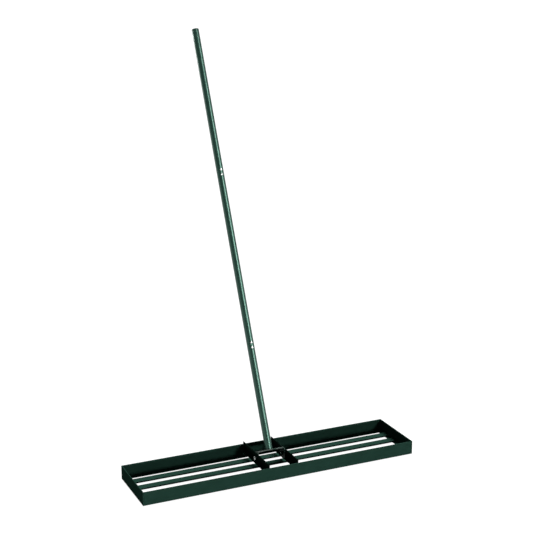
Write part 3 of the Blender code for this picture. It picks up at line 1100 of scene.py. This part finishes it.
@dataclass
class HandleTubes:
    """The three tubes end to end: drawn pipe with its cut ends deburred, and the cap in the top one."""

    finishes: Finishes
    axis: HandleAxis
    wall: float = 0.0015
    rim_radius: float = 0.0004
    arc_steps: int = 4
    lead: float = 0.00025
    segments: int = 128
    plug_chamfer: float = 0.0008
    flange_bevel: float = 0.0002
    flange_edge: float = 0.0008
    cap_edge_radius: float = 0.0018
    cap_edge_end_deg: float = 84.0
    cap_edge_rows: int = 8
    gate_radius: float = 0.0016
    gate_slope: float = 0.0006
    gate_depth: float = 0.0004
    gate_tip_radius: float = 0.0004

    def build(self) -> None:
        """Build the tubes and the cap, and paint the hidden sleeves."""
        for node in ("lower_tube", "middle_tube", "upper_tube"):
            add_piece(f"drawn_{node}", node, self.tube(node), self.finishes.tube_paint, Body.HANDLE)
        add_piece("moulded_end_cap", "end_cap", self.cap(), self.finishes.plastic, Body.HANDLE)
        for node in ("lower_joint_sleeve", "upper_joint_sleeve"):
            dress(node, self.finishes.tube_paint)

    def tube(self, node: str) -> Surface:
        """Turn the wall's rounded section about the tube's centre line.

        Args:
            node: The tube's CAD node.

        Returns:
            The surface in the shared frame.
        """
        low, high = self.axis.span(node, self.axis.up)
        outer = self.axis.reach(node)
        inner = outer - self.wall
        corners = [(inner, low), (outer, low), (outer, high), (inner, high)]
        profile, on_arc = rounded_outline(corners, [self.rim_radius] * 4, self.arc_steps, self.lead)
        return polar([np.hsplit(profile, 2)], self.segments, True, on_arc).placed(self.axis.upright())

    def cap(self) -> Surface:
        """Turn the cap's profile: plug, flange, rounded edge, flat top and a sunk gate mark.

        Returns:
            The surface in the shared frame.
        """
        low, high = self.axis.span("end_cap", self.axis.up)
        tube_top = self.axis.span("upper_tube", self.axis.up)[1]
        outer = self.axis.reach("end_cap")
        plug, gate, sunk = outer - self.wall, self.gate_radius, high - self.gate_depth
        angle = np.radians(np.linspace(0, self.cap_edge_end_deg, self.cap_edge_rows))[:, None]
        edge = (outer, high) - self.cap_edge_radius * (1 - np.hstack([np.cos(angle), np.sin(angle)]))
        profile = np.concatenate(
            [
                [(0, low), (plug - self.plug_chamfer, low)],
                [(plug, low + self.plug_chamfer), (plug, tube_top)],
                [(outer - self.flange_bevel, tube_top), (outer, tube_top + self.flange_bevel)],
                [(outer, tube_top + self.flange_edge)],
                edge,
                [(gate + self.gate_slope, high), (gate, sunk)],
                [(self.gate_tip_radius, sunk), (0, high - self.gate_depth / 2)],
            ]
        )
        return polar([np.hsplit(profile, 2)], self.segments, False).placed(self.axis.upright())


@dataclass
class TubeJoints:
    """The cross screws and nuts of the two tube joints.

    A screw's head is a spherical cap, sunk by a cross recess. Its tip carries a thread: the radius falls
    and rises as a triangle wave of z / pitch minus the turn's share.
    """

    finishes: Finishes
    axis: HandleAxis
    head_radius: float = 0.0045
    shank_radius: float = 0.0025
    gap: float = 0.0003
    recess_reach: float = 0.0027
    recess_half_width: float = 0.0006
    recess_soft: float = 0.0003
    recess_depth: float = 0.0016
    thread_length: float = 0.0034
    thread_runout: float = 0.0004
    thread_pitch: float = 0.0008
    thread_depth: float = 0.0003
    tip_taper: float = 0.0006
    nut_flats: float = 0.008
    nut_circle_share: float = 0.475
    nut_chamfer: float = 0.0004
    head_rows: int = 40
    tip_rows: int = 34
    segments: int = 96

    def build(self) -> None:
        """Build a screw and a nut at each of the four places."""
        zinc = self.finishes.zinc
        for joint in ("lower", "upper"):
            for number in ("first", "second"):
                screw, nut = f"{joint}_joint_{number}_screw", f"{joint}_joint_{number}_nut"
                add_piece(f"{screw}_recessed", screw, self.screw(screw), zinc, Body.HANDLE)
                add_piece(f"{nut}_hex", nut, self.nut(nut), zinc, Body.HANDLE)

    def head(self, top: float) -> tuple[np.ndarray, np.ndarray]:
        """A screw's head, with its cross recess.

        At radius r a cap from a ball of radius b is sqrt(b^2 - r^2) - (b - top) high. The recess is a cross
        of two bars, whose depth fades over a short way at their sides and ends.

        Args:
            top: Height of the head.

        Returns:
            Radius as a column, and height by radius and angle.
        """
        turn = np.linspace(0, 2 * math.pi, self.segments, endpoint=False)
        reach = self.head_radius * np.sin(np.linspace(0, math.pi / 2, self.head_rows))[:, None]
        ball = (self.head_radius**2 + top**2) / (2 * top)
        dome = np.sqrt(ball**2 - reach**2) - (ball - top)
        x, y = np.abs(reach * np.cos(turn)), np.abs(reach * np.sin(turn))
        in_bar = np.clip((self.recess_half_width - np.minimum(x, y)) / self.recess_soft + 0.5, 0, 1)
        in_reach = np.clip((self.recess_reach - np.maximum(x, y)) / self.recess_soft, 0, 1)
        return reach, dome - self.recess_depth * in_bar * in_reach

    def screw(self, node: str) -> Surface:
        """A screw whose head sits on the front of the tube.

        Args:
            node: The screw's CAD node.

        Returns:
            The surface in the shared frame.
        """
        front = -self.axis.back
        seat = self.axis.reach("lower_tube")
        tip, top = (place - seat for place in self.axis.span(node, front))
        rise = sum(self.axis.span(node, self.axis.up)) / 2
        turns = np.linspace(0, 1, self.segments, endpoint=False)
        z = np.linspace(tip, tip + self.thread_length, self.tip_rows)[::-1, None]
        wave = np.abs((z / self.thread_pitch - turns) % 1 - 0.5) * 2
        from_tip = np.clip((z - tip) / self.thread_pitch, 0, 1)
        thread = self.shank_radius - self.thread_depth * wave - self.tip_taper * (1 - from_tip)
        rings = [
            self.head(top),
            (self.shank_radius, 0.0),
            (self.shank_radius, tip + self.thread_length + self.thread_runout),
            (thread, z),
            (0.0, tip),
        ]
        return polar(rings, self.segments, False).placed(self.axis.facing(front, seat, rise))

    def nut(self, node: str) -> Surface:
        """A nut on the back of the tube, with its corners cut by a cone on the outer face.

        Args:
            node: The nut's CAD node.

        Returns:
            The surface in the shared frame.
        """
        low, high = self.axis.span(node, self.axis.back)
        rise = sum(self.axis.span(node, self.axis.up)) / 2
        bore, circle = self.shank_radius + self.gap / 3, self.nut_circle_share * self.nut_flats
        nut = hex_nut(self.nut_flats, high - low + self.gap, bore, circle, self.nut_chamfer, self.segments)
        return nut.placed(self.axis.facing(self.axis.back, low - self.gap, rise))


# Studio


def seen_directly(tree: Tree) -> Socket:
    """1 for what the camera sees straight, in a reflection or through glass, and 0 for light on the object.

    Args:
        tree: The node tree that asks.

    Returns:
        The largest of the three ray tests.
    """
    tests = add_node(tree, "ShaderNodeLightPath", {}, {}).outputs
    seen = tests["Is Camera Ray"]
    for test in ("Is Glossy Ray", "Is Transmission Ray"):
        links = {0: seen, 1: tests[test]}
        seen = add_node(tree, "ShaderNodeMath", {"operation": "MAXIMUM"}, links).outputs[0]
    return seen


@dataclass(frozen=True)
class DistantLamp:
    """A soft lamp far away. Azimuth 0 is in front of the tray and grows to its right.

    At level 1 it lights a white surface that faces it to white. A lamp for shine only is seen in glossy
    coats and in metal, and lights no matt surface.
    """

    name: str
    azimuth_deg: float
    elevation_deg: float
    width_deg: float
    level: float
    shine_only: bool = False

    def add(self) -> None:
        """Put the lamp into the scene."""
        data = bpy.data.lights.new(self.name, "SUN")
        data.energy = self.level * math.pi
        data.angle = math.radians(self.width_deg)
        lamp = add_object(self.name, data)
        lamp.visible_diffuse = not self.shine_only
        azimuth, elevation = math.radians(self.azimuth_deg), math.radians(self.elevation_deg)
        level = math.cos(elevation)
        towards = Vector((math.sin(azimuth) * level, -math.cos(azimuth) * level, math.sin(elevation)))
        lamp.rotation_euler = towards.to_track_quat("Z", "Y").to_euler()


@dataclass
class Studio:
    """A pale floor, a pale cove round the horizon, soft lamps, and the photograph's camera."""

    white: str = "FFFFFF"
    floor_grey: str = "616161"
    floor_half_size: float = 150.0
    floor_drop: float = 0.0003
    cove_top_deg: float = 13.0
    cove_fade_deg: float = 8.0
    ceiling_level: float = 0.04
    lens_mm: float = 80.68
    camera_place: tuple[float, float, float] = (-1.74769, -3.70573, 1.90796)
    camera_pitch_deg: float = -14.94
    camera_heading_rad: float = -0.42535
    # Name, azimuth, elevation, width and level
    lamps: tuple[DistantLamp, ...] = (
        DistantLamp("left_strip", -12.0, 0.0, 4.0, 0.48),
        DistantLamp("right_strip", 22.0, 0.0, 4.0, 0.48),
        DistantLamp("front_strip", 8.0, 9.0, 4.0, 0.33),
        DistantLamp("side_strip", -146.6, 1.5, 3.0, 0.18),
        DistantLamp("back_softbox", 146.0, 57.0, 36.0, 1.5),
        DistantLamp("pole_softbox", 31.0, 29.0, 27.0, 0.77, shine_only=True),
    )

    def build(self) -> None:
        """Build the floor, the world, the lamps and the camera."""
        self.add_floor()
        self.add_world()
        for lamp in self.lamps:
            lamp.add()
        self.add_camera()

    def add_floor(self) -> None:
        """A flat floor that looks white to the camera and in reflections, and takes little light itself."""
        half, z = self.floor_half_size, -self.floor_drop
        corners = [(-half, -half, z), (half, -half, z), (half, half, z), (-half, half, z)]
        mesh = bpy.data.meshes.new("studio_floor")
        mesh.from_pydata(corners, [], [(0, 1, 2, 3)])
        material, tree = new_material("matt_pale_floor")
        matt = add_node(tree, "ShaderNodeBsdfDiffuse", {"Color": linear_from_hex(self.floor_grey)}, {})
        glow = add_node(
            tree,
            "ShaderNodeEmission",
            {"Color": linear_from_hex(self.white)},
            {"Strength": seen_directly(tree)},
        )
        links = {0: matt.outputs["BSDF"], 1: glow.outputs["Emission"]}
        both = add_node(tree, "ShaderNodeAddShader", {}, links)
        add_node(tree, "ShaderNodeOutputMaterial", {}, {"Surface": both.outputs["Shader"]})
        mesh.materials.append(material)
        add_object("studio_floor", mesh)

    def add_world(self) -> None:
        """A cove that is white up to a low height and fades to a dim ceiling above it."""
        world = bpy.data.worlds.new("studio_cove")
        world.use_nodes = True
        tree = world.node_tree
        tree.nodes.clear()
        way = add_node(tree, "ShaderNodeTexCoord", {}, {}).outputs["Generated"]
        height = add_node(tree, "ShaderNodeSeparateXYZ", {}, {"Vector": way}).outputs["Z"]
        fade = {
            "interpolation_type": "SMOOTHSTEP",
            "From Min": math.sin(math.radians(self.cove_top_deg)),
            "From Max": math.sin(math.radians(self.cove_top_deg + self.cove_fade_deg)),
            "To Min": 1.0 - self.ceiling_level,
            "To Max": 0.0,
        }
        cove = add_node(tree, "ShaderNodeMapRange", fade, {"Value": height}).outputs["Result"]
        settings = {"operation": "MULTIPLY_ADD", 2: self.ceiling_level}
        shown = add_node(tree, "ShaderNodeMath", settings, {0: seen_directly(tree), 1: cove}).outputs[0]
        white = {"Color": linear_from_hex(self.white)}
        back = add_node(tree, "ShaderNodeBackground", white, {"Strength": shown})
        add_node(tree, "ShaderNodeOutputWorld", {}, {"Surface": back.outputs["Background"]})
        bpy.context.scene.world = world

    def add_camera(self) -> None:
        """Set up the camera that was solved from the photograph's edges."""
        data = bpy.data.cameras.new("photo_camera")
        data.lens = self.lens_mm
        camera = add_object("photo_camera", data)
        camera.location = self.camera_place
        camera.rotation_euler = (math.radians(90 + self.camera_pitch_deg), 0, self.camera_heading_rad)
        bpy.context.scene.camera = camera


def main() -> None:
    """Build the rake's looks on its solids, with the studio round it."""
    bpy.context.scene.view_settings.view_transform = "Standard"
    finishes = make_finishes()
    axis = HandleAxis.from_frame()
    Studio().build()
    Tray(finishes).build()
    SwivelYoke(finishes, axis).build()
    PivotFasteners(finishes, axis).build()
    HandleTubes(finishes, axis).build()
    TubeJoints(finishes, axis).build()


if __name__ == "__main__":
    logging.basicConfig(level=logging.INFO, format="%(message)s")
    main()
